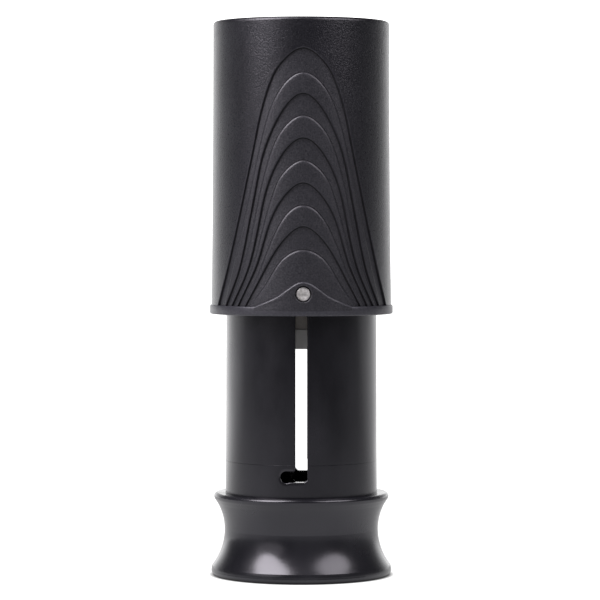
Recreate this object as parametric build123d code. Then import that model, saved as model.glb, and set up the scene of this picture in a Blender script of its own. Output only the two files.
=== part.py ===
"""Hand vacuum pump that presses onto a stoppered bottle: a slotted post on a flared foot,
with a grip that slides up and down on it. Millimetres, +Z up, origin at the foot's bottom
centre, with the pin's head and the left-going lock notch towards -Y. The grip stands at the
top of its stroke."""

from build123d import *
import math
import os

os.makedirs("parts", exist_ok=True)

# Driving dimensions
STROKE = 50.4
FOOT_HEIGHT = 23.3
COLLAR_BOTTOM = FOOT_HEIGHT + STROKE + 0.1
GRIP_TOP = 156.0
PIN_HEIGHT = 79.9

# Grip
COLLAR_RADIUS = 25.85
COLLAR_TOP = COLLAR_BOTTOM + 2.4
GRIP_RADIUS_LOW = 25.4
GRIP_RADIUS_MIDDLE = 25.02
GRIP_RADIUS_TOP = 24.86
GRIP_BORE = 21.95
CAP_BORE = 22.9
CAP_SEAT = 149.5
EDGE_ROUND = 1.0
MOUTH_BEVEL = 0.8
BELL_HEIGHT = 7.0
BELL_HALF_WIDTH = 13.0

# Pin: its shank has side play in the slot, so the grip rests turned by a degree or so
PIN_RADIUS = 1.15
GRIP_TURN = 1.2
PIN_HEAD_RADIUS = 1.93
PIN_HEAD_DEPTH = 1.0
PIN_FACE = 25.55
PIN_RECESS_RADIUS = 2.25
PRESS_GAP = 0.02

# Slotted post
POST_TOP = 98.0
POST_RADIUS_TOP = 21.13
POST_RADIUS_FOOT = 21.45
POST_BORE = 18.3
SPIGOT_BOTTOM = 17.0
SPIGOT_RADIUS = 19.9
SLOT_WIDTH = 3.3
SLOT_TOP = PIN_HEIGHT + PIN_RADIUS + 0.15
NOTCH_BOTTOM = 27.75
NOTCH_TOP = 30.8
NOTCH_END = 4.16
NOTCH_END_RADIUS = 1.62
POCKET_DROP = 0.2
NOTCH_CORNER = 0.75

# Foot
FOOT_RADIUS = 25.4
WAIST_RADIUS = 21.67
WAIST_HEIGHT = 13.0
FLARE_ARC_LOW = 16.8
FLARE_ARC_HIGH = 14.7
FLARE_START = 2.7
FLARE_END = 20.0
FLANGE_RADIUS = 24.7
FOOT_CAVITY = 19.75
SHOULDER_HEIGHT = 12.8
FOOT_PASSAGE = 18.6

# Bottle socket and seat seal
SOCKET_RADIUS = 15.6
SOCKET_BOTTOM = 0.4
SEAL_BOTTOM = 8.6
SEAL_HOLE = 10.5

# Piston rod: two hollow legs with the pin's path between them
ROD_FLANGE_BOTTOM = 10.6
ROD_FLANGE_RADIUS = 19.7
ROD_RADIUS = 8.5
ROD_TOP = 92.0
ROD_PLATE_RADIUS = 13.4
ROD_PLATE_THICKNESS = 2.0
CHANNEL_HALF_WIDTH = 1.85
CHANNEL_BOTTOM = 19.5
CHANNEL_TOP = 82.0
DUCT_FLAT = 4.4
DUCT_RADIUS = 7.1
LOCK_ANGLE = 11.0

# Pump cylinder, running over the fixed piston
CYLINDER_BORE = 16.3
CYLINDER_RADIUS = 17.8
CYLINDER_BOTTOM = 64.5
CYLINDER_CEILING = 150.4
CYLINDER_HEAD_TOP = 152.9
GUIDE_RING_TOP = 69.9
GUIDE_RING_RADIUS = POST_BORE - 0.09
GUIDE_RING_SEAT = 17.2

# Piston
CUP_LIP_RADIUS = CYLINDER_BORE - 0.05
CUP_WEB_TOP = 93.6
CUP_LIP_BOTTOM = 88.5
PISTON_RADIUS = 15.9
PISTON_TOP = 98.8
PLENUM_RADIUS = 6.0
VALVE_SEAT = 95.6
VALVE_RECESS = 7.0
VALVE_RADIUS = 5.4
VALVE_THICKNESS = 1.0
VALVE_LIFT = 0.8
SCREW_OFFSET = 10.4
SCREW_RADIUS = 1.25
SCREW_HEAD_RADIUS = 2.1


def turned(*edges):
    """Revolve a closed outline, drawn as (radius, height), about the upright axis."""
    outline = Curve() + list(edges)
    return revolve(make_face(Plane.XZ * outline), Axis.Z)


def turned_points(points):
    """Revolve a closed outline of straight runs."""
    return turned(Polyline(*points, close=True))


def upright(radius, low, high, x=0.0, y=0.0):
    """A round bar or hole from one height to another."""
    length = high - low
    return Pos(x, y, (low + high) / 2) * Cylinder(radius, length)


def block(x_size, y_size, low, high, x=0.0, y=0.0):
    """A rectangular block from one height to another."""
    return Pos(x, y, (low + high) / 2) * Box(x_size, y_size, high - low)


def cross_bar(radius, y_low, y_high, height=PIN_HEIGHT):
    """A round bar or hole along Y at the pin's height."""
    middle = (y_low + y_high) / 2
    return Pos(0, middle, height) * Rot(90, 0, 0) * Cylinder(radius, y_high - y_low)


def on_grip(solid):
    """Turn a grip piece about the upright axis by the pin's play in the slot."""
    return Rot(0, 0, GRIP_TURN) * solid


def both_sides(solid):
    """The solid and its copy turned half round the upright axis."""
    return solid + Rot(0, 0, 180) * solid


def flare_radius(height):
    """The foot's concave side: one arc below the waist and a tighter one above it."""
    arc = FLARE_ARC_LOW if height < WAIST_HEIGHT else FLARE_ARC_HIGH
    return WAIST_RADIUS + arc - math.sqrt(arc**2 - (height - WAIST_HEIGHT) ** 2)


def grip_shell():
    """The grip's tube wall, with its collar, mouth bevel and stepped bore."""
    wall_low = (GRIP_RADIUS_LOW, COLLAR_TOP + 0.2)
    wall_high = (GRIP_RADIUS_TOP, GRIP_TOP - EDGE_ROUND)
    wall_middle = (GRIP_RADIUS_MIDDLE, (wall_low[1] + wall_high[1]) / 2)
    top_outer = (GRIP_RADIUS_TOP - EDGE_ROUND, GRIP_TOP)
    round_middle = (
        GRIP_RADIUS_TOP - EDGE_ROUND * (1 - math.sin(math.pi / 4)),
        GRIP_TOP - EDGE_ROUND * (1 - math.sin(math.pi / 4)),
    )
    mouth_outer = (GRIP_BORE + MOUTH_BEVEL, COLLAR_BOTTOM)
    collar = Polyline(
        mouth_outer,
        (COLLAR_RADIUS - 0.4, COLLAR_BOTTOM),
        (COLLAR_RADIUS, COLLAR_BOTTOM + 0.4),
        (COLLAR_RADIUS, COLLAR_TOP - 0.3),
        wall_low,
    )
    inside = Polyline(
        top_outer,
        (CAP_BORE, GRIP_TOP),
        (CAP_BORE, CAP_SEAT),
        (GRIP_BORE, CAP_SEAT),
        (GRIP_BORE, COLLAR_BOTTOM + MOUTH_BEVEL),
        mouth_outer,
    )
    return turned(
        collar,
        ThreePointArc(wall_low, wall_middle, wall_high),
        ThreePointArc(wall_high, round_middle, top_outer),
        inside,
    )


def bell_boss():
    """The bell-shaped pad round each end of the pin, level with the collar."""
    low = COLLAR_TOP - 0.4
    half = BELL_HALF_WIDTH
    crest = COLLAR_TOP + BELL_HEIGHT
    side = COLLAR_TOP + BELL_HEIGHT / 2
    bell = Spline(
        (-half, COLLAR_TOP),
        (-half / 2, side),
        (0, crest),
        (half / 2, side),
        (half, COLLAR_TOP),
        tangents=((1, 0), (1, 0)),
    )
    base = Polyline((half, COLLAR_TOP), (half, low), (-half, low), (-half, COLLAR_TOP))
    prism = extrude(make_face(Plane.XZ * (Curve() + [bell, base])), 30, both=True)
    ring = upright(COLLAR_RADIUS, low, crest) - upright(GRIP_BORE + 1, low, crest)
    return prism & ring


def handle_sleeve():
    sleeve = grip_shell() + bell_boss()
    sleeve -= cross_bar(PIN_RADIUS + PRESS_GAP, -30, 30)
    recess = cross_bar(PIN_RECESS_RADIUS, -30, PIN_HEAD_DEPTH - PIN_FACE)
    return sleeve - both_sides(recess)


def handle_cap():
    """A shallow dished disc that closes the grip's top."""
    radius = CAP_BORE - PRESS_GAP
    return turned_points(
        [
            (0, CYLINDER_HEAD_TOP + 0.1),
            (radius, CYLINDER_HEAD_TOP + 0.1),
            (radius, GRIP_TOP - 0.3),
            (radius - 0.4, GRIP_TOP),
            (radius - 1.8, GRIP_TOP),
            (radius - 2.4, GRIP_TOP - 0.5),
            (0, GRIP_TOP - 0.5),
        ]
    )


def pump_cylinder():
    """The moving cylinder: closed at the top by its own flanged head."""
    head_radius = CAP_BORE - 0.1
    body = turned_points(
        [
            (CYLINDER_BORE, CYLINDER_BOTTOM + 0.8),
            (GUIDE_RING_SEAT, CYLINDER_BOTTOM + 0.8),
            (GUIDE_RING_SEAT, GUIDE_RING_TOP),
            (CYLINDER_RADIUS, GUIDE_RING_TOP),
            (CYLINDER_RADIUS, CAP_SEAT),
            (head_radius, CAP_SEAT),
            (head_radius, CYLINDER_HEAD_TOP),
            (0, CYLINDER_HEAD_TOP),
            (0, CYLINDER_CEILING),
            (CYLINDER_BORE, CYLINDER_CEILING),
        ]
    )
    return body - cross_bar(PIN_RADIUS + PRESS_GAP, -30, 30)


def guide_ring():
    """The pale ring on the cylinder's lower end that runs in the post."""
    inner = GUIDE_RING_SEAT + PRESS_GAP
    return turned_points(
        [
            (CYLINDER_BORE + 0.2, CYLINDER_BOTTOM),
            (GUIDE_RING_RADIUS - 0.3, CYLINDER_BOTTOM),
            (GUIDE_RING_RADIUS, CYLINDER_BOTTOM + 0.3),
            (GUIDE_RING_RADIUS, GUIDE_RING_TOP - 0.02),
            (inner, GUIDE_RING_TOP - 0.02),
            (inner, CYLINDER_BOTTOM + 0.78),
            (CYLINDER_BORE + 0.2, CYLINDER_BOTTOM + 0.78),
        ]
    )


def cross_pin():
    """The steel pin through grip, post and cylinder, headed at the front."""
    shank = cross_bar(PIN_RADIUS, -PIN_FACE + 0.2, PIN_FACE - PIN_HEAD_DEPTH)
    head = cross_bar(PIN_HEAD_RADIUS, -PIN_FACE, -PIN_FACE + PIN_HEAD_DEPTH - 0.02)
    rim = head.faces().sort_by(Axis.Y)[0].edges()
    return shank + chamfer(rim, 0.2)


def notch_profile():
    """The front slot's outline: a long slot with a rounded lock notch going left."""
    notch_height = NOTCH_TOP - NOTCH_BOTTOM
    slot = Pos(0, (NOTCH_BOTTOM + SLOT_TOP) / 2) * Rectangle(SLOT_WIDTH, SLOT_TOP - NOTCH_BOTTOM)
    corner = slot.vertices().sort_by(Axis.Y)[:2].sort_by(Axis.X)[-1]
    slot = chamfer(corner, NOTCH_CORNER)
    branch = Pos(-NOTCH_END / 2, NOTCH_BOTTOM + notch_height / 2) * Rectangle(NOTCH_END, notch_height)
    end_top = Pos(-NOTCH_END, NOTCH_TOP - NOTCH_END_RADIUS) * Circle(NOTCH_END_RADIUS)
    pocket_height = NOTCH_BOTTOM - POCKET_DROP + NOTCH_END_RADIUS
    pocket = Pos(-NOTCH_END, pocket_height) * Circle(NOTCH_END_RADIUS)
    return slot + branch + end_top + pocket


def guide_tube():
    """The slotted post, drafted slightly, on a spigot that sits in the foot."""
    post = turned_points(
        [
            (POST_BORE, SPIGOT_BOTTOM),
            (SPIGOT_RADIUS, SPIGOT_BOTTOM),
            (SPIGOT_RADIUS, FOOT_HEIGHT),
            (POST_RADIUS_FOOT, FOOT_HEIGHT),
            (POST_RADIUS_TOP, POST_TOP - 0.5),
            (POST_RADIUS_TOP - 0.5, POST_TOP),
            (POST_BORE, POST_TOP),
        ]
    )
    cut = extrude(Plane.XZ * notch_profile(), 30)
    return post - both_sides(cut)


def foot():
    """The flared foot: concave side, top flange, and a cavity open at the bottom."""
    flare_low = (flare_radius(FLARE_START), FLARE_START)
    flare_high = (flare_radius(FLARE_END), FLARE_END)
    waist = (WAIST_RADIUS, WAIST_HEIGHT)
    low_middle = (WAIST_HEIGHT + FLARE_START) / 2
    high_middle = (WAIST_HEIGHT + FLARE_END) / 2
    floor_edge = (FOOT_RADIUS - 0.8, 0)
    lip = (FOOT_RADIUS, 1.5)
    flange_low = (FLANGE_RADIUS - 0.5, FOOT_HEIGHT - 2.1)
    flange_edge = (FLANGE_RADIUS, FOOT_HEIGHT - 0.9)
    flange_top = (FLANGE_RADIUS - 0.9, FOOT_HEIGHT)
    inside = Polyline(
        flange_top,
        (SPIGOT_RADIUS + 0.05, FOOT_HEIGHT),
        (SPIGOT_RADIUS + 0.05, SPIGOT_BOTTOM),
        (FOOT_PASSAGE, SPIGOT_BOTTOM),
        (FOOT_PASSAGE, SHOULDER_HEIGHT),
        (FOOT_CAVITY, SHOULDER_HEIGHT),
        (FOOT_CAVITY, 0),
        (21.2, 0),
        (21.4, 2.4),
        (22.2, 2.4),
        (22.6, 0),
        floor_edge,
    )
    return turned(
        ThreePointArc(floor_edge, (FOOT_RADIUS - 0.22, 0.45), lip),
        ThreePointArc(lip, (FOOT_RADIUS - 0.05, 2.1), flare_low),
        ThreePointArc(flare_low, (flare_radius(low_middle), low_middle), waist),
        ThreePointArc(waist, (flare_radius(high_middle), high_middle), flare_high),
        Line(flare_high, flange_low),
        ThreePointArc(flange_low, (FLANGE_RADIUS - 0.14, FOOT_HEIGHT - 1.55), flange_edge),
        ThreePointArc(flange_edge, (FLANGE_RADIUS - 0.28, FOOT_HEIGHT - 0.25), flange_top),
        inside,
    )


def socket_ring():
    """The ring under the foot that slips over the bottle's lip and carries the seal."""
    return turned_points(
        [
            (SOCKET_RADIUS + 0.8, SOCKET_BOTTOM),
            (FOOT_CAVITY - 0.6, SOCKET_BOTTOM),
            (FOOT_CAVITY - PRESS_GAP, SOCKET_BOTTOM + 0.6),
            (FOOT_CAVITY - PRESS_GAP, SEAL_BOTTOM),
            (SOCKET_RADIUS, SEAL_BOTTOM),
            (SOCKET_RADIUS, SOCKET_BOTTOM + 0.8),
        ]
    )


def seat_seal():
    """The rubber ring that the bottle stopper's top presses against."""
    return turned_points(
        [
            (SEAL_HOLE, SEAL_BOTTOM + 0.3),
            (SEAL_HOLE + 1.2, SEAL_BOTTOM),
            (SEAL_HOLE + 2.0, SEAL_BOTTOM + 0.5),
            (SOCKET_RADIUS - 0.6, SEAL_BOTTOM + 0.5),
            (SOCKET_RADIUS - 0.6, SEAL_BOTTOM),
            (ROD_FLANGE_RADIUS, SEAL_BOTTOM),
            (ROD_FLANGE_RADIUS, ROD_FLANGE_BOTTOM),
            (SEAL_HOLE, ROD_FLANGE_BOTTOM),
        ]
    )


def lock_clearance():
    """Room between the legs for the pin as it turns into the lock notch."""
    reach = ROD_RADIUS + 0.5
    gap = PIN_RADIUS + 0.4
    swing = math.tan(math.radians(LOCK_ANGLE)) * reach + gap
    low = NOTCH_BOTTOM - 0.6
    high = NOTCH_TOP + 0.2
    wedge = Polyline((0, 0), (0, -reach), (-swing, -reach), (-gap, 0), close=True)
    half = Pos(0, 0, low) * extrude(make_face(wedge), high - low)
    return both_sides(half)


def rod_ducts():
    """The air passages: one in each leg, joined below the valve by a round plenum."""
    low = ROD_FLANGE_BOTTOM
    high = ROD_TOP - 1.5
    round_duct = upright(DUCT_RADIUS, low, high)
    ducts = round_duct - block(2 * DUCT_FLAT, 40, low, high)
    return ducts + upright(PLENUM_RADIUS, high - 2, ROD_TOP)


def piston_rod():
    """Flange, forked hollow rod, and the plate and screw bosses that carry the piston."""
    rod = upright(ROD_RADIUS, ROD_FLANGE_BOTTOM, ROD_TOP)
    rod += upright(ROD_FLANGE_RADIUS, ROD_FLANGE_BOTTOM, SHOULDER_HEIGHT)
    rod += upright(ROD_PLATE_RADIUS, ROD_TOP - ROD_PLATE_THICKNESS, ROD_TOP)
    boss = upright(SCREW_RADIUS + 1.3, CHANNEL_TOP + 1.5, ROD_TOP, y=SCREW_OFFSET)
    rod += both_sides(boss)
    rod -= block(2 * CHANNEL_HALF_WIDTH, 40, CHANNEL_BOTTOM, CHANNEL_TOP)
    rod -= lock_clearance()
    rod -= rod_ducts()
    pilot = upright(SCREW_RADIUS + PRESS_GAP, CHANNEL_TOP + 2.5, ROD_TOP + 1, y=SCREW_OFFSET)
    return rod - both_sides(pilot)


def cup_seal():
    """The piston's rubber cup: its lip points down and lets air out on the push stroke."""
    cup = turned_points(
        [
            (PLENUM_RADIUS, ROD_TOP),
            (14.2, ROD_TOP),
            (15.2, CUP_LIP_BOTTOM),
            (CUP_LIP_RADIUS, CUP_LIP_BOTTOM),
            (CUP_LIP_RADIUS, CUP_LIP_BOTTOM + 0.8),
            (PISTON_RADIUS - 0.3, CUP_WEB_TOP),
            (PLENUM_RADIUS, CUP_WEB_TOP),
        ]
    )
    hole = upright(SCREW_RADIUS + 0.15, ROD_TOP - 1, CUP_WEB_TOP + 1, y=SCREW_OFFSET)
    return cup - both_sides(hole)


def piston_head():
    """The disc that clamps the cup and holds the valve's seat and air holes."""
    head = turned_points(
        [
            (0, CUP_WEB_TOP),
            (PISTON_RADIUS, CUP_WEB_TOP),
            (PISTON_RADIUS, PISTON_TOP - 0.5),
            (PISTON_RADIUS - 0.5, PISTON_TOP),
            (VALVE_RECESS, PISTON_TOP),
            (VALVE_RECESS, VALVE_SEAT),
            (0, VALVE_SEAT),
        ]
    )
    hole = upright(0.9, CUP_WEB_TOP - 1, VALVE_SEAT + 1, x=3.4)
    for step in range(6):
        head -= Rot(0, 0, 60 * step) * hole
    screw_hole = upright(SCREW_RADIUS + 0.15, CUP_WEB_TOP - 1, PISTON_TOP, y=SCREW_OFFSET)
    counterbore = upright(SCREW_HEAD_RADIUS + 0.2, PISTON_TOP - 2, PISTON_TOP + 1, y=SCREW_OFFSET)
    return head - both_sides(screw_hole + counterbore)


def piston_screws():
    """Two pan-head screws from the piston head into the rod's bosses."""
    shank = upright(SCREW_RADIUS, CHANNEL_TOP + 3, PISTON_TOP - 2, y=SCREW_OFFSET)
    head = upright(SCREW_HEAD_RADIUS, PISTON_TOP - 2, PISTON_TOP - 0.4, y=SCREW_OFFSET)
    slot = block(0.6, 6, PISTON_TOP - 1.1, PISTON_TOP, y=SCREW_OFFSET)
    screw = shank + head - slot
    return Compound([screw, Rot(0, 0, 180) * screw])


def valve_disc():
    """The loose rubber disc that lifts to let the bottle's air into the cylinder."""
    low = VALVE_SEAT + 0.01
    return upright(VALVE_RADIUS, low, low + VALVE_THICKNESS)


def valve_cage():
    """The pierced plate that limits the valve disc's lift."""
    low = VALVE_SEAT + VALVE_THICKNESS + VALVE_LIFT + 0.1
    cage = upright(VALVE_RECESS - PRESS_GAP, low, PISTON_TOP)
    window = upright(1.3, low - 1, PISTON_TOP + 1, x=5.0)
    for step in range(6):
        cage -= Rot(0, 0, 60 * step + 30) * window
    return cage


GRIP_NODES = {
    "handle_sleeve": handle_sleeve,
    "handle_cap": handle_cap,
    "pump_cylinder": pump_cylinder,
    "guide_ring": guide_ring,
    "cross_pin": cross_pin,
}

BASE_NODES = {
    "guide_tube": guide_tube,
    "foot": foot,
    "socket_ring": socket_ring,
    "seat_seal": seat_seal,
    "piston_rod": piston_rod,
    "cup_seal": cup_seal,
    "piston_head": piston_head,
    "piston_screws": piston_screws,
    "valve_disc": valve_disc,
    "valve_cage": valve_cage,
}

for name, make in GRIP_NODES.items():
    export_step(on_grip(make()), f"parts/{name}.step")

for name, make in BASE_NODES.items():
    export_step(make(), f"parts/{name}.step")
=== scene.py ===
"""Looks for the hand vacuum pump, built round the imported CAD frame. +Z is up and the front is -Y.
Lengths are millimetres until a mesh is made; the stage, lights and camera are in metres."""

import math

import bmesh
import bpy
import numpy as np
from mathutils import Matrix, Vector


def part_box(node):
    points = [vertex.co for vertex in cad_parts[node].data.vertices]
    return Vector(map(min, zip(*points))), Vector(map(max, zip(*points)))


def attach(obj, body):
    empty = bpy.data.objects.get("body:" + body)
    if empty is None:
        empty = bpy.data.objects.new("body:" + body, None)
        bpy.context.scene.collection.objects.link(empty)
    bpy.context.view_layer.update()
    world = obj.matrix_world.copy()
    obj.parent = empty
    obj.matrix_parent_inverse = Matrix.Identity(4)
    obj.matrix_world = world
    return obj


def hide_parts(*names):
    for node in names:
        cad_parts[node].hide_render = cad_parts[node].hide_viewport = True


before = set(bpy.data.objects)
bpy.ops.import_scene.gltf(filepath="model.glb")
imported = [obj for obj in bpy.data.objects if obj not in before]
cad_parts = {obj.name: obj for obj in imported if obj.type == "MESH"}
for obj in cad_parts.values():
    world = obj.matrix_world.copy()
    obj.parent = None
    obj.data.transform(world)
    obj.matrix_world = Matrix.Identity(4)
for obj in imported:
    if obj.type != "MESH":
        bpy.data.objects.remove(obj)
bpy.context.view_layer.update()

MM = 0.001


# ---------------------------------------------------------------- measures taken from the frame
def span(node):
    """Lowest and highest corner of a CAD node, in millimetres."""
    low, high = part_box(node)
    return np.array(low) / MM, np.array(high) / MM


SLEEVE_LOW, SLEEVE_HIGH = span("handle_sleeve")
COLLAR_RADIUS = SLEEVE_HIGH[1]
COLLAR_BOTTOM = SLEEVE_LOW[2]
GRIP_TOP = SLEEVE_HIGH[2]
PIN_LOW, PIN_HIGH = span("cross_pin")
PIN_HEIGHT = (PIN_LOW[2] + PIN_HIGH[2]) / 2
FOOT_TOP = span("foot")[1][2]
POST_TOP = span("guide_tube")[1][2]
POST_RADIUS_FOOT = span("guide_tube")[1][0]

# Grip
GRIP_TURN = math.radians(1.2)
WALL_LOW = COLLAR_BOTTOM + 2.6
TOP_ROUND = 1.0
WALL_HIGH = GRIP_TOP - TOP_ROUND
RADIUS_LOW, RADIUS_MIDDLE, RADIUS_TOP = 25.4, 25.02, 24.86
GRIP_BORE = 21.95
CAP_BORE = 22.9
CAP_SEAT = 149.5
RELIEF_DEPTH = 0.6
# The pin's recess, and how far its rounded rim reaches outside it
RECESS_RADIUS = 2.25
RECESS_FLOOR = 24.55
RECESS_RIM = 0.16
# The collar's rounded top edge: drop below the wall's foot, and distance inside the collar
COLLAR_ROLL = ((0.10, 0.23), (0.24, 0.08), (0.46, 0.0))

# The nested arches, outermost first. kind is "in" where the wall steps in below the line and
# "out" where it steps out again. Each has its crown height, crown radius and half-angles at LEVELS.
LEVELS = (140, 130, 120, 110, 100, 90, 83, 77)
ARCHES = (
    ("in", 147.3, 4.65, (19.3, 27.7, 33.3, 39.1, 45.4, 52.9, 59.6, 66.9)),
    ("out", 140.6, 4.7, (22.1, 29.0, 34.8, 40.9, 47.8, 53.2, 58.7)),
    ("in", 134.9, 3.5, (14.5, 24.9, 30.9, 36.1, 41.8, 48.1, 56.4)),
    ("out", 128.8, 4.5, (19.8, 27.3, 32.7, 38.6, 44.8, 52.5)),
    ("in", 122.7, 3.8, (22.8, 28.7, 34.4, 41.3, 50.0)),
    ("out", 116.5, 4.5, (17.1, 25.1, 31.7, 38.8, 46.8)),
    ("in", 110.4, 3.8, (21.1, 28.6, 36.1, 44.4)),
    ("out", 104.2, 4.4, (13.6, 24.9, 32.3, 40.4)),
    ("in", 98.4, 4.0, (20.2, 29.5, 38.2)),
    ("out", 92.0, 6.5, (23.5, 34.4)),
)
# An arch follows its crown's circle this far down, and takes no level nearer the crown than the gap
CROWN_DROP = 3.0
LEVEL_GAP = 6.0
# The plain wall round the arches: where its mesh turns the corner, and its rows
FRAME_TOP = 152.0
FRAME_CORNER = 0.4
FRAME_ROWS = 12
# Where the extra rows between two steps stand
BAND_SHARES = (0.2, 0.5, 0.8)
# The bell-shaped pad round the pin: distance from the centreline and height of its edge
BELL = ((0, 83.3), (3.8, 81.7), (6.7, 79.6), (9.6, 78.1), (13.5, WALL_LOW + 0.05))
# Material slots of the sleeve; the crease slot carries painted shade and the crest slot a painted
# highlight
SKIN, BAND, CREASE_SHADE, CREST_HIGHLIGHT, COLLAR = range(5)
# A step's cross-section: distance outward from the line, how deep there, and the slot up to there
STEP_IN = (
    (0.40, 0.0, BAND),
    (0.28, 0.03, CREST_HIGHLIGHT),
    (0.13, 0.14, CREST_HIGHLIGHT),
    (0.06, 0.42, CREASE_SHADE),
    (-0.08, 0.84, CREASE_SHADE),
    (-0.20, 0.98, CREASE_SHADE),
    (-0.40, 1.0, BAND),
)
STEP_OUT = (
    (0.24, 1.0, BAND),
    (0.08, 0.97, CREASE_SHADE),
    (0.02, 0.85, CREASE_SHADE),
    (-0.05, 0.36, BAND),
    (-0.12, 0.24, CREST_HIGHLIGHT),
    (-0.42, 0.04, CREST_HIGHLIGHT),
    (-0.58, 0.0, BAND),
)
# Points along half an arch, and how strongly they crowd towards its crown
HALF_COUNT = 84
CROWD = 1.5
# Towards the arches' feet the steps turn level and, as they crowd together, get narrower. Each
# has the share of the arch where the change starts, and the share that it takes. SQUEEZE is the
# part of their width that they lose.
LEVEL_START, LEVEL_RUN = 0.86, 0.12
SQUEEZE_START, SQUEEZE_RUN, SQUEEZE = 0.72, 0.2, 0.3


# ---------------------------------------------------------------- mesh helpers
class Shell:
    """Points and faces of one mesh, in millimetres."""

    def __init__(self):
        self.points = []
        self.faces = []
        self.slots = []

    def row(self, points):
        """Adds points and gives their indices."""
        start = len(self.points)
        self.points.extend(tuple(float(v) for v in p) for p in points)
        return list(range(start, len(self.points)))

    def strip(self, a, b, closed=False, slot=0):
        """Quads between two rows of equal length."""
        count = len(a) if closed else len(a) - 1
        for i in range(count):
            j = (i + 1) % len(a)
            self.faces.append((a[i], a[j], b[j], b[i]))
            self.slots.append(slot)

    def strips(self, rows, closed=False, slot=0):
        """Quads between each row and the next."""
        for a, b in zip(rows, rows[1:]):
            self.strip(a, b, closed, slot)

    def fan(self, ring, centre, slot=0):
        """Triangles from a closed ring to its centre."""
        for i, at in enumerate(ring):
            self.faces.append((at, ring[(i + 1) % len(ring)], centre))
            self.slots.append(slot)

    def zipper(self, a, angles_a, b, angles_b, slot=0):
        """Triangles between two closed rings whose points stand at different angles."""
        i = j = 0
        while i < len(a) or j < len(b):
            next_a = angles_a[i + 1] if i + 1 < len(a) else angles_a[0] + 2 * math.pi
            next_b = angles_b[j + 1] if j + 1 < len(b) else angles_b[0] + 2 * math.pi
            if j == len(b) or (i < len(a) and next_a <= next_b):
                self.faces.append((a[i], a[(i + 1) % len(a)], b[j % len(b)]))
                i += 1
            else:
                self.faces.append((a[i % len(a)], b[(j + 1) % len(b)], b[j]))
                j += 1
            self.slots.append(slot)

    def build(self, name, turn=0.0, sharp=38.0):
        """The finished object: merged, with normals outward, and smooth but for its sharp edges."""
        mesh = bpy.data.meshes.new(name)
        c, s = math.cos(turn), math.sin(turn)
        points = [((x * c - y * s) * MM, (x * s + y * c) * MM, z * MM) for x, y, z in self.points]
        mesh.from_pydata(points, [], self.faces)
        mesh.polygons.foreach_set("material_index", self.slots)
        work = bmesh.new()
        work.from_mesh(mesh)
        bmesh.ops.remove_doubles(work, verts=work.verts, dist=2e-7)
        bmesh.ops.dissolve_degenerate(work, edges=work.edges, dist=1e-7)
        bmesh.ops.recalc_face_normals(work, faces=work.faces)
        work.to_mesh(mesh)
        work.free()
        mesh.polygons.foreach_set("use_smooth", [True] * len(mesh.polygons))
        mesh.set_sharp_from_angle(angle=math.radians(sharp))
        obj = bpy.data.objects.new(name, mesh)
        bpy.context.scene.collection.objects.link(obj)
        weigh = obj.modifiers.new("weigh", "WEIGHTED_NORMAL")
        weigh.keep_sharp = True
        weigh.weight = 80
        return obj


def cubic(points, count):
    """A natural cubic curve through the points, sampled densely."""
    p = np.array(points, float)
    t = np.concatenate([[0], np.cumsum(np.sqrt(np.linalg.norm(np.diff(p, axis=0), axis=1)))])
    n, h = len(p), np.diff(t)
    a = np.zeros((n, n))
    b = np.zeros((n, 2))
    a[0, 0] = a[-1, -1] = 1
    for i in range(1, n - 1):
        a[i, i - 1 : i + 2] = h[i - 1], 2 * (h[i - 1] + h[i]), h[i]
        b[i] = 3 * ((p[i + 1] - p[i]) / h[i] - (p[i] - p[i - 1]) / h[i - 1])
    c = np.linalg.solve(a, b)
    out = []
    for s in np.linspace(t[0], t[-1], count):
        i = min(int(np.searchsorted(t, s, side="right")) - 1, n - 2)
        d = (c[i + 1] - c[i]) / (3 * h[i])
        first = (p[i + 1] - p[i]) / h[i] - h[i] * (2 * c[i] + c[i + 1]) / 3
        x = s - t[i]
        out.append(p[i] + first * x + c[i] * x**2 + d * x**3)
    return np.array(out)


def crowded():
    """Shares of the way from crown to foot, closer together near the crown."""
    return (np.arange(HALF_COUNT + 1) / HALF_COUNT) ** CROWD


def both_halves(half):
    """A curve from its left foot over the crown to its right foot, from its right half."""
    left = half[::-1].copy()
    left[:, 0] *= -1
    return np.vstack([left[:-1], half])


def resampled(dense):
    """The right half of a symmetric dense curve, at the crowded shares of its length."""
    middle = len(dense) // 2
    half = dense[middle:]
    length = np.concatenate([[0], np.cumsum(np.linalg.norm(np.diff(half, axis=0), axis=1))])
    at = crowded() * length[-1]
    return np.stack([np.interp(at, length, half[:, k]) for k in (0, 1)], axis=1)


# ---------------------------------------------------------------- the grip
def wall_radius(z):
    """The grip's outer wall, which widens downward in a slight curve."""
    middle, half = (WALL_LOW + WALL_HIGH) / 2, (WALL_HIGH - WALL_LOW) / 2
    t = (z - middle) / half
    bow = (RADIUS_LOW + RADIUS_TOP) / 2 - RADIUS_MIDDLE
    return RADIUS_MIDDLE + (RADIUS_TOP - RADIUS_LOW) / 2 * t + bow * t**2


def around(angle, z, radius):
    """A point at an angle from the front (-Y) towards +X."""
    return radius * math.sin(angle), -radius * math.cos(angle), z


def arch_half(crown, crown_radius, angles):
    """One arch's right half as (distance round the wall, height), crown first."""
    heights = LEVELS[len(LEVELS) - len(angles) :]
    right = [(math.sqrt(2 * crown_radius * CROWN_DROP), crown - CROWN_DROP)]
    right += [(math.radians(a) * RADIUS_LOW, z) for a, z in zip(angles, heights) if z < crown - LEVEL_GAP]
    (x0, z0), (x1, z1) = right[-2:]
    right.append((x1 + (x1 - x0) / (z1 - z0) * (WALL_LOW - z1), WALL_LOW))
    left = [(-x, z) for x, z in right[::-1]]
    return resampled(cubic(left + [(0, crown)] + right, 4001))


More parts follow.
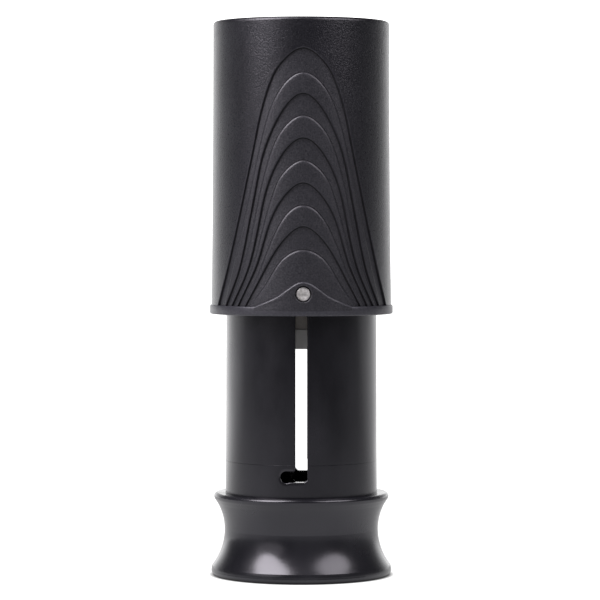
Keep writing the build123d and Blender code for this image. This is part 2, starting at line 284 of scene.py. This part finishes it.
def set_off(half, distance):
    """An arch's right half moved outward, square to itself but level, and less, at its foot."""
    run = np.gradient(half, axis=0)
    run /= np.linalg.norm(run, axis=1)[:, None]
    normal = np.stack([-run[:, 1], run[:, 0]], axis=1)
    normal[0] = (0, 1)
    level = np.stack([1 / np.maximum(normal[:, 0], 0.3), np.zeros(len(half))], axis=1)
    share = crowded()[:, None]
    t = np.clip((share - LEVEL_START) / LEVEL_RUN, 0, 1)
    blend = t * t * (3 - 2 * t)
    width = 1 - SQUEEZE * np.clip((share - SQUEEZE_START) / SQUEEZE_RUN, 0, 1)
    moved = half + distance * width * (normal * (1 - blend) + level * blend)
    moved[0, 0] = 0
    moved[-1, 1] = WALL_LOW
    return moved


def frame_half():
    """The edge of the relief's quarter: along the top, then down the side."""
    share = np.arange(HALF_COUNT + 1) / HALF_COUNT
    x = np.minimum(share / FRAME_CORNER, 1) * math.pi / 2 * RADIUS_LOW
    down = np.clip((share - FRAME_CORNER) / (1 - FRAME_CORNER), 0, 1)
    return np.stack([x, FRAME_TOP - down * (FRAME_TOP - WALL_LOW)], axis=1)


def bell_half():
    """The bell's edge, crown first."""
    left = [(-x, z) for x, z in BELL[:0:-1]]
    dense = cubic(left + list(BELL), 2001)
    half = resampled(dense)
    half[:, 0] = np.arcsin(np.clip(half[:, 0] / COLLAR_RADIUS, -1, 1)) * RADIUS_LOW
    return half


def relief_rows():
    """Every row of the front face from the frame in to the bell: (half curve, depth, slot)."""
    rows = []
    lines = [(kind, arch_half(*rest)) for kind, *rest in ARCHES]
    frame_line = frame_half()
    outer = set_off(lines[0][1], STEP_IN[0][0])
    for t in np.arange(FRAME_ROWS) / FRAME_ROWS:
        rows.append((frame_line * (1 - t) + outer * t, 0.0, SKIN))
    for n, (kind, line) in enumerate(lines):
        steps = STEP_IN if kind == "in" else STEP_OUT
        for offset, depth, slot in steps:
            rows.append((set_off(line, offset), depth, SKIN if n == 0 and depth == 0 else slot))
        if n + 1 < len(lines):
            following = STEP_OUT if kind == "in" else STEP_IN
            a, b = set_off(line, steps[-1][0]), set_off(lines[n + 1][1], following[0][0])
        else:
            a, b = set_off(line, steps[-1][0]), bell_half()
        depth = 1.0 if kind == "in" else 0.0
        for t in BAND_SHARES:
            rows.append((a * (1 - t) + b * t, depth, BAND))
    return rows


def relief_face(shell, turn):
    """One face of the grip. Gives its top row, its left foot points, the bell and the right ones."""
    made = []
    for half, depth, slot in relief_rows() + [(bell_half(), 0.0, BAND)]:
        points = [
            around(turn + u / RADIUS_LOW, z, wall_radius(z) - depth * RELIEF_DEPTH)
            for u, z in both_halves(half)
        ]
        made.append((shell.row(points), slot))
    for (a, _), (b, slot) in zip(made, made[1:]):
        shell.strip(a, b, slot=slot)
    rows = [row for row, _ in made]
    corner = round(FRAME_CORNER * HALF_COUNT)
    top = rows[0][HALF_COUNT - corner : HALF_COUNT + corner + 1]
    left = [row[0] for row in rows[:-1]]
    right = [row[-1] for row in rows[-2::-1]]
    return top, left, rows[-1], right


def collar_row(shell, base, drop, radius):
    """The foot points again, lower down and at another radius."""
    points = []
    for i in base:
        x, y, z = shell.points[i]
        points.append(around(math.atan2(x, -y), z - drop, radius))
    return shell.row(points)


def pin_patch(shell, upper, lower, turn):
    """The bell's flat face with the round recess for the pin in it."""
    outline = upper + lower[::-1]
    c, s = math.cos(-turn), math.sin(-turn)
    flat = []
    for i in outline:
        x, y, z = shell.points[i]
        flat.append((x * c - y * s, z - PIN_HEIGHT))
    facing = [math.atan2(z, x) for x, z in flat]

    def on_face(x, z, depth=0.0, level=None):
        y = -(math.sqrt(COLLAR_RADIUS**2 - x * x) - depth) if level is None else -level
        return x * c + y * s, -x * s + y * c, z + PIN_HEIGHT

    def circle(radius, depth=0.0, level=None):
        return [on_face(radius * math.cos(a), radius * math.sin(a), depth, level) for a in facing]

    rim = RECESS_RADIUS + RECESS_RIM
    rows = [outline]
    for t in (0.25, 0.5, 0.75, 0.92):
        points = []
        for (x, z), a in zip(flat, facing):
            to_x, to_z = rim * math.cos(a), rim * math.sin(a)
            points.append(on_face(x * (1 - t) + to_x * t, z * (1 - t) + to_z * t))
        rows.append(shell.row(points))
    for points in (
        circle(rim),
        circle(RECESS_RADIUS + 0.06, 0.05),
        circle(RECESS_RADIUS, RECESS_RIM),
        circle(RECESS_RADIUS, level=RECESS_FLOOR),
        circle(RECESS_RADIUS / 2, level=RECESS_FLOOR),
    ):
        rows.append(shell.row(points))
    shell.strips(rows, closed=True, slot=BAND)
    centre = shell.row([on_face(0, 0, level=RECESS_FLOOR)])[0]
    shell.fan(rows[-1], centre, slot=BAND)


def wall_angles(shell, row):
    """The angle from the front of each of a row's points."""
    return [math.atan2(shell.points[i][0], -shell.points[i][1]) for i in row]


def level_rows(shell, angles, profile):
    """Level rows of points at these angles, one for each (height, radius)."""
    return [shell.row([around(a, z, radius) for a in angles]) for z, radius in profile]


def make_collar(shell, foot, bells):
    """The collar from the wall's foot down and round to the bore. Gives its last row."""
    rows = [foot]
    for drop, inset in COLLAR_ROLL:
        rows.append(collar_row(shell, foot, drop, COLLAR_RADIUS - inset))
    shell.strips(rows, closed=True, slot=COLLAR)
    edge = rows[-1]
    profile = (
        (1.4, COLLAR_RADIUS),
        (0.42, COLLAR_RADIUS),
        (0.2, COLLAR_RADIUS - 0.06),
        (0.06, COLLAR_RADIUS - 0.2),
        (0.0, COLLAR_RADIUS - 0.42),
        (0.0, GRIP_BORE + 0.8),
        (0.2, GRIP_BORE + 0.5),
        (0.8, GRIP_BORE),
    )
    profile = [(COLLAR_BOTTOM + z, radius) for z, radius in profile]
    lower = level_rows(shell, wall_angles(shell, foot), profile)
    low = lower[0]
    for k, (start, end) in enumerate(bells):
        pin_patch(shell, edge[start:end], low[start:end], math.pi * k)
    for i in range(len(foot)):
        j = (i + 1) % len(foot)
        if not any(start <= i < end - 1 for start, end in bells):
            shell.faces.append((edge[i], edge[j], low[j], low[i]))
            shell.slots.append(COLLAR)
    shell.strips(lower, closed=True, slot=COLLAR)
    return lower[-1]


def make_rim(shell, top):
    """The grip's rounded top and the cap's seat inside it. Gives its last row."""
    above = (FRAME_TOP + WALL_HIGH) / 2
    profile = [(above, wall_radius(above))]
    for a in np.radians(np.arange(0, 91, 15)):
        height, out = TOP_ROUND * math.sin(a), TOP_ROUND * math.cos(a)
        profile.append((WALL_HIGH + height, RADIUS_TOP - TOP_ROUND + out))
    profile += [
        (GRIP_TOP, CAP_BORE + 0.2),
        (GRIP_TOP - 0.06, CAP_BORE + 0.06),
        (GRIP_TOP - 0.2, CAP_BORE),
        (CAP_SEAT, CAP_BORE),
        (CAP_SEAT, GRIP_BORE),
        (CAP_SEAT - 1, GRIP_BORE),
    ]
    rows = [top] + level_rows(shell, wall_angles(shell, top), profile)
    shell.strips(rows, closed=True)
    return rows[-1]


def make_sleeve():
    """The grip's outer sleeve with its nested arches, collar, bells and rounded top."""
    shell = Shell()
    top, foot, bells = [], [], []
    for turn in (0.0, math.pi):
        line, left, bell_row, right = relief_face(shell, turn)
        top += line[:-1]
        start = len(foot) + len(left)
        foot += left + bell_row + right
        bells.append((start, start + len(bell_row)))
    bore_ends = []
    for row in (make_collar(shell, foot, bells), make_rim(shell, top)):
        angles = [a % (2 * math.pi) for a in wall_angles(shell, row)]
        ordered = sorted(zip(angles, row))
        bore_ends += [[i for _, i in ordered], [a for a, _ in ordered]]
    shell.zipper(*bore_ends)
    return shell.build("grip_sleeve", turn=GRIP_TURN)


# ---------------------------------------------------------------- the slotted post
POST_RADIUS_TOP = 21.13
POST_BORE = 18.3
SLOT_HALF = 1.65
SLOT_TOP = 81.2
NOTCH_LOW, NOTCH_HIGH, NOTCH_END, NOTCH_ROUND = 27.75, 30.8, 4.16, 1.62
POCKET_DROP, NOTCH_CORNER = 0.2, 0.75
SLOT_CORNER = 0.4
SPIGOT_RADIUS = 19.9
SPIGOT_BOTTOM = 17.0
# The witness ring's height, its distance from a slot's middle, and its points on one side
WITNESS_HEIGHT = 32.4
WITNESS_GAP = 2.1
WITNESS_POINTS = 90
# The wall's mesh: a patch round each slot, and plain columns between the two patches
PATCH_HALF = 10.0
PATCH_TOP = 86.0
SIDE_COUNT = 64
END_COUNT = 16
COLUMNS = 26
# The slot edge's rounding: distance outside the slot's outline, and depth
POST_EDGE = ((0.9, 0.0), (0.30, 0.0), (0.16, 0.035), (0.06, 0.11), (0.0, 0.24))


def arc(cx, cz, radius, start, end, count):
    """Points on an arc, its angles in degrees."""
    return [
        (cx + radius * math.cos(math.radians(a)), cz + radius * math.sin(math.radians(a)))
        for a in np.linspace(start, end, count)
    ]


def even(points, count):
    """Points evenly spaced along a polyline, its ends kept."""
    p = np.array(points, float)
    length = np.concatenate([[0], np.cumsum(np.linalg.norm(np.diff(p, axis=0), axis=1))])
    at = np.linspace(0, length[-1], count)
    return np.stack([np.interp(at, length, p[:, k]) for k in (0, 1)], axis=1)


def spread(points, count, share):
    """Like even, but with that share of the points on the run's last eighth, where the notch is."""
    dense = even(points, 2001)
    cut = len(dense) - 260
    before = round(count * (1 - share))
    head = even(dense[: cut + 1], before + 1)
    tail = even(dense[cut:], count - before)
    return np.vstack([head[:-1], tail])


def slot_outline():
    """The slot with its lock notch, as left, bottom, right and top runs of set counts."""
    pocket = NOTCH_LOW - POCKET_DROP + NOTCH_ROUND
    end = SLOT_TOP - SLOT_CORNER
    meets = math.degrees(math.asin((NOTCH_LOW - pocket) / NOTCH_ROUND))
    left = [(-SLOT_HALF, end), (-SLOT_HALF, NOTCH_HIGH + 0.5)]
    left += arc(-SLOT_HALF - 0.5, NOTCH_HIGH + 0.5, 0.5, 0, -90, 7)
    left += arc(-NOTCH_END, NOTCH_HIGH - NOTCH_ROUND, NOTCH_ROUND, 90, 180, 9)
    left += arc(-NOTCH_END, pocket, NOTCH_ROUND, 180, 225, 5)
    bottom = arc(-NOTCH_END, pocket, NOTCH_ROUND, 225, 360 + meets, 9)
    bottom += [(SLOT_HALF - NOTCH_CORNER, NOTCH_LOW), (SLOT_HALF, NOTCH_LOW + NOTCH_CORNER)]
    right = [(SLOT_HALF, NOTCH_LOW + NOTCH_CORNER), (SLOT_HALF, end)]
    top = arc(SLOT_HALF - SLOT_CORNER, end, SLOT_CORNER, 0, 90, 4)
    top += arc(SLOT_CORNER - SLOT_HALF, end, SLOT_CORNER, 90, 180, 4)
    return [
        spread(left, SIDE_COUNT, 0.6),
        even(bottom, END_COUNT),
        even(right, SIDE_COUNT),
        even(top, END_COUNT),
    ]


def closed_loop(runs):
    """Runs that meet end to end, joined without their shared points."""
    return np.vstack([run[:-1] for run in runs])


def loop_offset(loop, distance):
    """A closed outline, drawn with its inside on the left, moved away from its inside."""
    before, after = np.roll(loop, 1, axis=0), np.roll(loop, -1, axis=0)
    a = loop - before
    b = after - loop
    a /= np.linalg.norm(a, axis=1)[:, None]
    b /= np.linalg.norm(b, axis=1)[:, None]
    na = np.stack([a[:, 1], -a[:, 0]], axis=1)
    nb = np.stack([b[:, 1], -b[:, 0]], axis=1)
    n = na + nb
    n /= np.linalg.norm(n, axis=1)[:, None]
    stretch = 1 / np.maximum((n * na).sum(axis=1), 0.6)
    return loop + distance * n * stretch[:, None]


def post_radius(z):
    """The post's outer wall, which widens a little towards the foot."""
    share = np.clip((z - FOOT_TOP) / (POST_TOP - FOOT_TOP), 0, 1)
    return POST_RADIUS_FOOT + (POST_RADIUS_TOP - POST_RADIUS_FOOT) * share


def patch_frame():
    """The slot patch's square edge, with as many points as the outline's runs."""
    levels = np.linspace(PATCH_TOP, FOOT_TOP, SIDE_COUNT)
    across = np.linspace(-PATCH_HALF, PATCH_HALF, END_COUNT)
    left = np.stack([np.full(SIDE_COUNT, -PATCH_HALF), levels], axis=1)
    bottom = np.stack([across, np.full(END_COUNT, FOOT_TOP)], axis=1)
    right = np.stack([np.full(SIDE_COUNT, PATCH_HALF), levels[::-1]], axis=1)
    top = np.stack([across[::-1], np.full(END_COUNT, PATCH_TOP)], axis=1)
    return closed_loop([left, bottom, right, top])


def post_wall(shell, radius_at, edge, turn):
    """One side of the wall round a slot. Gives the row at the slot's edge."""
    outline = closed_loop(slot_outline())
    border = patch_frame()
    rows = []
    wide = loop_offset(outline, edge[0][0])
    for t in (0.0, 0.35, 0.65, 0.87):
        rows.append((border * (1 - t) + wide * t, 0.0))
    rows += [(loop_offset(outline, offset), depth) for offset, depth in edge]
    c, s = math.cos(turn), math.sin(turn)
    made = []
    for loop, depth in rows:
        points = []
        for x, z in loop:
            y = -math.sqrt((radius_at(z) - depth) ** 2 - x * x)
            points.append((x * c - y * s, x * s + y * c, z))
        made.append(shell.row(points))
    shell.strips(made, closed=True)
    return made[-1]


def plain_wall(shell, radius_at, turn):
    """The wall from one slot patch round to the next."""
    rows = []
    for k in range(COLUMNS + 1):
        row = []
        for z in np.linspace(PATCH_TOP, FOOT_TOP, SIDE_COUNT):
            start = math.asin(PATCH_HALF / radius_at(z))
            angle = turn + start + (math.pi - 2 * start) * k / COLUMNS
            row.append(around(angle, z, radius_at(z)))
        rows.append(shell.row(row))
    shell.strips(rows)


def make_walls(shell):
    """The post's wall and bore, joined through the rounded edges of the two slots."""
    inner_edge = [(offset, -depth) for offset, depth in POST_EDGE]
    for turn in (0.0, math.pi):
        outer = post_wall(shell, post_radius, POST_EDGE, turn)
        inner = post_wall(shell, lambda z: POST_BORE, inner_edge, turn)
        shell.strip(outer, inner, closed=True)
        plain_wall(shell, post_radius, turn)
        plain_wall(shell, lambda z: POST_BORE, turn)


def ring_angles(radius):
    """The angles of the wall's columns at a level, all the way round."""
    start = math.asin(PATCH_HALF / radius)
    across = [math.asin(x / radius) for x in np.linspace(-PATCH_HALF, PATCH_HALF, END_COUNT)]
    between = [start + (math.pi - 2 * start) * k / COLUMNS for k in range(1, COLUMNS)]
    half = across + between
    return half + [a + math.pi for a in half]


def close_post(shell):
    """The post's top, its foot end and spigot, which join the outer wall to the bore."""
    top, foot = post_radius(PATCH_TOP), post_radius(FOOT_TOP)
    # Each row is a height, a radius, and the radius whose column angles it takes
    over_the_top = (
        (PATCH_TOP, top, top),
        (POST_TOP - 0.5, POST_RADIUS_TOP, top),
        (POST_TOP - 0.15, POST_RADIUS_TOP - 0.15, top),
        (POST_TOP, POST_RADIUS_TOP - 0.5, POST_RADIUS_TOP),
        (POST_TOP, POST_BORE + 0.3, POST_BORE),
        (POST_TOP - 0.3, POST_BORE, POST_BORE),
        (PATCH_TOP, POST_BORE, POST_BORE),
    )
    round_the_spigot = (
        (FOOT_TOP, foot, foot),
        (FOOT_TOP, SPIGOT_RADIUS, foot),
        (SPIGOT_BOTTOM, SPIGOT_RADIUS, foot),
        (SPIGOT_BOTTOM, POST_BORE, POST_BORE),
        (FOOT_TOP, POST_BORE, POST_BORE),
    )
    for profile in (over_the_top, round_the_spigot):
        rows = [level_rows(shell, ring_angles(like), [(z, radius)])[0] for z, radius, like in profile]
        shell.strips(rows, closed=True)


def witness_line(shell):
    """A hairline ridge round the post, broken at the slots."""
    radius = post_radius(WITNESS_HEIGHT)
    gap = WITNESS_GAP / radius
    section = ((-0.1, -0.05), (0.0, 0.06), (0.1, -0.05), (0.0, -0.08))
    profile = [(WITNESS_HEIGHT + up, radius + out) for up, out in section]
    for turn in (0.0, math.pi):
        rows = level_rows(shell, turn + np.linspace(gap, math.pi - gap, WITNESS_POINTS), profile)
        shell.strips(rows + rows[:1])
        for end in (0, -1):
            shell.faces.append(tuple(row[end] for row in rows))
            shell.slots.append(0)


def make_post():
    """The slotted post, with rounded slot edges, a spigot and a fine witness ring."""
    shell = Shell()
    make_walls(shell)
    close_post(shell)
    witness_line(shell)
    return shell.build("slotted_post")


# ---------------------------------------------------------------- materials
# The faintly violet sheen of the black plastics
COOL = (0.93, 0.92, 1.0)


def material(name, colour, roughness):
    """A new Principled material and its node tree."""
    made = bpy.data.materials.new(name)
    made.use_nodes = True
    tree = made.node_tree
    shader = tree.nodes["Principled BSDF"]
    shader.inputs["Base Color"].default_value = (*colour, 1)
    shader.inputs["Roughness"].default_value = roughness
    shader.inputs["IOR"].default_value = 1.5
    shader.inputs["Specular Tint"].default_value = (*COOL, 1)
    return made, tree, shader


def node(tree, kind, **values):
    """A new node, with values for its inputs or, where it has no such input, its settings."""
    made = tree.nodes.new(kind)
    for key, value in values.items():
        if key in made.inputs:
            made.inputs[key].default_value = value
        else:
            setattr(made, key, value)
    return made


def noise(tree, scale, detail=3.0, stretch=(1, 1, 1), roughness=0.5):
    """A noise on the object's own coordinates; scale is per metre."""
    at = node(tree, "ShaderNodeTexCoord")
    sized = node(tree, "ShaderNodeMapping")
    sized.inputs["Scale"].default_value = stretch
    made = node(tree, "ShaderNodeTexNoise", Scale=scale, Detail=detail, Roughness=roughness)
    tree.links.new(at.outputs["Object"], sized.inputs["Vector"])
    tree.links.new(sized.outputs["Vector"], made.inputs["Vector"])
    return made.outputs["Fac"]


def combined(tree, operation, a, b):
    """Two values multiplied, or the larger of them."""
    made = node(tree, "ShaderNodeMath", operation=operation)
    tree.links.new(a, made.inputs[0])
    tree.links.new(b, made.inputs[1])
    return made.outputs[0]


def ramp(tree, value, low, high, out_low, out_high):
    """The value mapped from one range to another."""
    made = node(tree, "ShaderNodeMapRange")
    made.inputs["From Min"].default_value = low
    made.inputs["From Max"].default_value = high
    made.inputs["To Min"].default_value = out_low
    made.inputs["To Max"].default_value = out_high
    tree.links.new(value, made.inputs["Value"])
    return made.outputs["Result"]


def mixed(tree, factor, a, b):
    """Two colours mixed by a value."""
    made = node(tree, "ShaderNodeMix", data_type="RGBA")
    colours = [s for s in made.inputs if s.type == "RGBA"]
    colours[0].default_value = (*a, 1)
    colours[1].default_value = (*b, 1)
    tree.links.new(factor, made.inputs["Factor"])
    return [s for s in made.outputs if s.type == "RGBA"][0]


def bump(tree, shader, height, strength, distance, under=None):
    """A bump on the shader, over another one where there is one under it."""
    made = node(tree, "ShaderNodeBump", Strength=strength, Distance=distance)
    tree.links.new(height, made.inputs["Height"])
    if under is not None:
        tree.links.new(under, made.inputs["Normal"])
    tree.links.new(made.outputs["Normal"], shader.inputs["Normal"])
    return made.outputs["Normal"]


def grain_plastic(name, dark, light, rough_low, rough_high, grain, strength, shine=0.5):
    """Moulded plastic with a fine spark-eroded grain."""
    made, tree, shader = material(name, dark, rough_low)
    cloud = ramp(tree, noise(tree, 90, 4), 0.35, 0.65, 0, 1)
    speck = noise(tree, grain, 2.5, roughness=0.6)
    level = ramp(tree, speck, 0.3, 0.7, shine * 0.7, shine * 1.3)
    tree.links.new(level, shader.inputs["Specular IOR Level"])
    tree.links.new(mixed(tree, cloud, dark, light), shader.inputs["Base Color"])
    tree.links.new(ramp(tree, speck, 0.3, 0.7, rough_low, rough_high), shader.inputs["Roughness"])
    fine = bump(tree, shader, noise(tree, grain * 2.4, 2), strength * 0.5, 0.00004)
    bump(tree, shader, speck, strength, 0.00008, fine)
    return made


def smooth_plastic(name, dark, light, rough_low, rough_high):
    """Smooth moulded plastic with faint flow marks, handling smudges and hairline scuffs."""
    made, tree, shader = material(name, dark, rough_low)
    smudge = noise(tree, 80, 3, stretch=(1, 1, 0.5))
    scuff = noise(tree, 900, 3, stretch=(1, 1, 0.06), roughness=0.7)
    patch = ramp(tree, smudge, 0.35, 0.68, 0, 1)
    tree.links.new(mixed(tree, patch, dark, light), shader.inputs["Base Color"])
    tree.links.new(ramp(tree, smudge, 0.3, 0.7, rough_low, rough_high), shader.inputs["Roughness"])
    fine = bump(tree, shader, scuff, 0.10, 0.00003)
    bump(tree, shader, noise(tree, 2600, 2), 0.12, 0.00003, fine)
    return made


def sheared_steel():
    """The pin's sheared end: bright, cloudy and lightly rough, with fine scratches."""
    made, tree, shader = material("pin_face_steel", (0.62, 0.61, 0.6), 0.34)
    shader.inputs["Metallic"].default_value = 1.0
    cloud = noise(tree, 1400, 4, roughness=0.6)
    bright = mixed(tree, ramp(tree, cloud, 0.3, 0.7, 0, 1), (0.74, 0.72, 0.715), (0.95, 0.93, 0.925))
    tree.links.new(bright, shader.inputs["Base Color"])
    tree.links.new(ramp(tree, cloud, 0.3, 0.7, 0.28, 0.46), shader.inputs["Roughness"])
    bump(tree, shader, noise(tree, 3200, 3, stretch=(1, 1, 0.3)), 0.25, 0.00005)
    return made


# Each look has its darkest and lightest colour, its range of roughness, then its grain
GRIP = grain_plastic(
    "grip_skin", (0.004, 0.004, 0.0058), (0.007, 0.007, 0.0095), 0.27, 0.35, 2400, 1.0
)
RELIEF = grain_plastic(
    "grip_relief", (0.007, 0.007, 0.0095), (0.010, 0.010, 0.013), 0.40, 0.50, 2400, 0.9
)
# The creases' look: a darker base colour as painted shade in the steps, with a rougher finish and weaker
# specular
CREASE_SHADE_LOOK = grain_plastic(
    "grip_crease_painted_shade", (0.0015, 0.0015, 0.002), (0.003, 0.003, 0.004), 0.70, 0.85, 2300, 0.2, shine=0.28
)
COLLAR_LOOK = grain_plastic(
    "grip_collar", (0.018, 0.018, 0.023), (0.024, 0.024, 0.030), 0.34, 0.44, 1900, 0.3
)
# The crests' look: a slightly lighter base colour as a painted highlight on the step edges, with a
# slightly smoother finish
CREST_HIGHLIGHT_LOOK = grain_plastic(
    "grip_crest_painted_highlight", (0.008, 0.008, 0.011), (0.012, 0.012, 0.016), 0.37, 0.46, 1900, 0.5
)
RUBBER = grain_plastic(
    "seal_black", (0.012, 0.012, 0.012), (0.018, 0.018, 0.018), 0.60, 0.75, 1500, 0.2
)
POST = smooth_plastic("post_satin", (0.003, 0.003, 0.0042), (0.007, 0.007, 0.009), 0.18, 0.28)
FOOT = smooth_plastic("foot_gloss", (0.006, 0.006, 0.0078), (0.010, 0.010, 0.0125), 0.20, 0.28)
INNER = smooth_plastic("inner_brown", (0.15, 0.138, 0.125), (0.19, 0.175, 0.16), 0.45, 0.60)
GUIDE = smooth_plastic("guide_pale", (0.24, 0.237, 0.234), (0.30, 0.296, 0.292), 0.42, 0.55)
STEEL = sheared_steel()

NODE_LOOKS = {
    "handle_cap": GRIP,
    "pump_cylinder": INNER,
    "guide_ring": GUIDE,
    "cross_pin": STEEL,
    "foot": FOOT,
    "socket_ring": POST,
    "seat_seal": RUBBER,
    "piston_rod": RUBBER,
    "cup_seal": RUBBER,
    "piston_head": INNER,
    "piston_screws": STEEL,
    "valve_disc": RUBBER,
    "valve_cage": GUIDE,
}

# ---------------------------------------------------------------- pieces
sleeve = make_sleeve()
for look in (GRIP, RELIEF, CREASE_SHADE_LOOK, CREST_HIGHLIGHT_LOOK, COLLAR_LOOK):
    sleeve.data.materials.append(look)
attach(sleeve, "handle")
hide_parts("handle_sleeve")

post = make_post()
post.data.materials.append(POST)
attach(post, "base")
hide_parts("guide_tube")

for name, look in NODE_LOOKS.items():
    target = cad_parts[name]
    for place in target.material_slots:
        place.link = "OBJECT"
        place.material = look


# ---------------------------------------------------------------- stage, light and camera
def make_floor():
    """A wide floor, white to the eye but for a thin painted shadow under the foot. As light it is
    bright behind, dimmer far to the sides and on the right, and dimmest in front."""
    bpy.ops.mesh.primitive_plane_add(size=8, location=(0, 0, -0.00002))
    floor = bpy.context.object
    floor.name = "floor"
    made, tree, shader = material("floor_white", (0.12, 0.12, 0.12), 0.9)
    shader.inputs["Emission Color"].default_value = (1, 1, 1, 1)
    shader.inputs["Specular IOR Level"].default_value = 0.0
    at = node(tree, "ShaderNodeTexCoord").outputs["Object"]
    parts = node(tree, "ShaderNodeSeparateXYZ")
    tree.links.new(at, parts.inputs["Vector"])
    reach = node(tree, "ShaderNodeVectorMath", operation="LENGTH")
    tree.links.new(at, reach.inputs[0])
    front = ramp(tree, parts.outputs["Y"], -0.42, -0.12, 0.15, 1.0)
    behind = ramp(tree, parts.outputs["Y"], 0.15, 0.42, 1.0, 3.2)
    side = ramp(tree, parts.outputs["X"], -0.4, 0.4, 1.1, 0.65)
    far = ramp(tree, reach.outputs["Value"], 0.12, 0.40, 1.0, 0.6)
    glow = front
    for share in (behind, side, far):
        glow = combined(tree, "MULTIPLY", glow, share)
    # Painted contact shadow: the floor's glow is dimmed in a thin ring round the foot
    under = ramp(tree, reach.outputs["Value"], 0.0248, 0.0263, 0.05, 1.0)
    eye = node(tree, "ShaderNodeLightPath").outputs["Is Camera Ray"]
    lit = combined(tree, "MULTIPLY", combined(tree, "MAXIMUM", glow, eye), under)
    tree.links.new(lit, shader.inputs["Emission Strength"])
    floor.data.materials.append(made)


BOX_DISTANCE = 0.8
BOX_AIM = Vector((0, 0, 0.05))


def soft_box(name, azimuth, elevation, width, height, radiance):
    """An oval soft box that faces the object. Azimuth is from the front towards +X, in degrees."""
    lamp = bpy.data.lights.new(name, "AREA")
    lamp.shape = "ELLIPSE"
    lamp.size, lamp.size_y = width, height
    area = math.pi / 4 * width * height
    lamp.energy = radiance * math.pi * area
    lamp.color = (1.0, 0.955, 0.975)
    box = bpy.data.objects.new(name, lamp)
    bpy.context.scene.collection.objects.link(box)
    a, e = math.radians(azimuth), math.radians(elevation)
    back = Vector((math.sin(a) * math.cos(e), -math.cos(a) * math.cos(e), math.sin(e)))
    box.location = BOX_AIM + back * BOX_DISTANCE
    box.rotation_mode = "QUATERNION"
    box.rotation_quaternion = back.to_track_quat("Z", "Y")
    box.visible_camera = False


# The surround's brightness against how far behind the object it is: 0 in front, 0.5 at the
# sides, 1 straight behind
LIGHT_BACK = (
    (0.0, 0.05),
    (0.35, 0.05),
    (0.5, 0.05),
    (0.62, 0.05),
    (0.74, 0.06),
    (0.84, 0.26),
    (0.91, 0.78),
    (1.0, 1.0),
)
LIGHT_PEAK = 2.2


def make_world():
    """White all round to the eye; as light it is bright behind, and dim above and everywhere else."""
    world = bpy.data.worlds.new("studio")
    bpy.context.scene.world = world
    world.use_nodes = True
    tree = world.node_tree
    shade = tree.nodes["Background"]
    at = node(tree, "ShaderNodeTexCoord").outputs["Generated"]
    parts = node(tree, "ShaderNodeSeparateXYZ")
    tree.links.new(at, parts.inputs["Vector"])
    level = node(tree, "ShaderNodeFloatCurve")
    curve = level.mapping.curves[0]
    for point, place in zip(curve.points, (LIGHT_BACK[0], LIGHT_BACK[-1])):
        point.location = place
    for place in LIGHT_BACK[1:-1]:
        curve.points.new(*place)
    level.mapping.update()
    tree.links.new(ramp(tree, parts.outputs["Y"], -1, 1, 0, 1), level.inputs["Value"])
    light = ramp(tree, level.outputs["Value"], 0, 1, 0, LIGHT_PEAK)
    ceiling = ramp(tree, parts.outputs["Z"], 0.12, 0.5, 1.0, 0.08)
    eye = node(tree, "ShaderNodeLightPath").outputs["Is Camera Ray"]
    seen = combined(tree, "MAXIMUM", combined(tree, "MULTIPLY", light, ceiling), eye)
    tree.links.new(seen, shade.inputs["Strength"])
    shade.inputs["Color"].default_value = (1, 1, 1, 1)


def make_camera():
    """A long lens in front, a little higher than the pump's middle."""
    lens = bpy.data.cameras.new("camera")
    lens.lens, lens.sensor_width = 176.4, 36
    camera = bpy.data.objects.new("camera", lens)
    bpy.context.scene.collection.objects.link(camera)
    side = -0.00037
    camera.location = (side, -0.8305, 0.1008)
    aim = Vector((side, 0, 0.0776)) - camera.location
    camera.rotation_mode = "QUATERNION"
    camera.rotation_quaternion = aim.to_track_quat("-Z", "Y")
    bpy.context.scene.camera = camera


make_floor()
make_world()
soft_box("left_box", -55, 48, 0.54, 0.78, 12.6)
soft_box("left_fill", -48, 16, 0.62, 0.36, 1.1)
soft_box("right_box", 54, 42, 0.60, 0.58, 5.7)
make_camera()
bpy.context.scene.view_settings.view_transform = "Standard"
